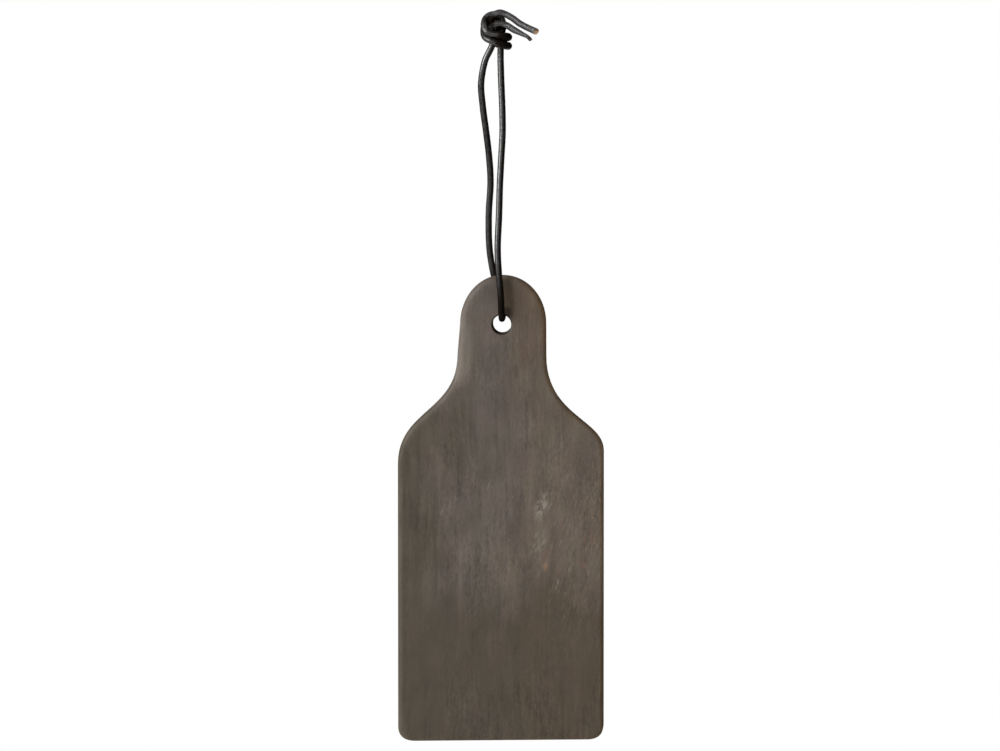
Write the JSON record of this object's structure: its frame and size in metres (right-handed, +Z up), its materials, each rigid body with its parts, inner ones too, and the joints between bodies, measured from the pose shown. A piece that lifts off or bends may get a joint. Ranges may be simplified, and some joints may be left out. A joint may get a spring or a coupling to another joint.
{
  "type": "tapas board",
  "caption": "Paddle-shaped wooden serving board with a round-ended handle, hanging from a knotted round leather lace through the hole in its handle.",
  "frame": {"origin": "where a peg or hook holds the loop, between the lace's two strands just under the knot", "axes": "+Z up along the hanging board, +X to the right seen from the front, the serving face towards -Y"},
  "size_m": [0.132, 0.0274, 0.4705],
  "materials": {
    "stained_wood": "grey-brown stained and oiled, fine lengthwise grain, matt",
    "black_leather": "smooth black dyed round lace, soft satin, natural tan at the cut ends"
  },
  "bodies": {
    "lace": {"leather_lace": "black_leather"},
    "board": {"wooden_board": "stained_wood"}
  },
  "joints": [
    {"name": "board_swing", "type": "hinge", "parent": "lace", "child": "board", "pos_m": [0.0057, 0, -0.169], "axis": [0, 1, 0], "range_deg": [-130, 130]}
  ]
}
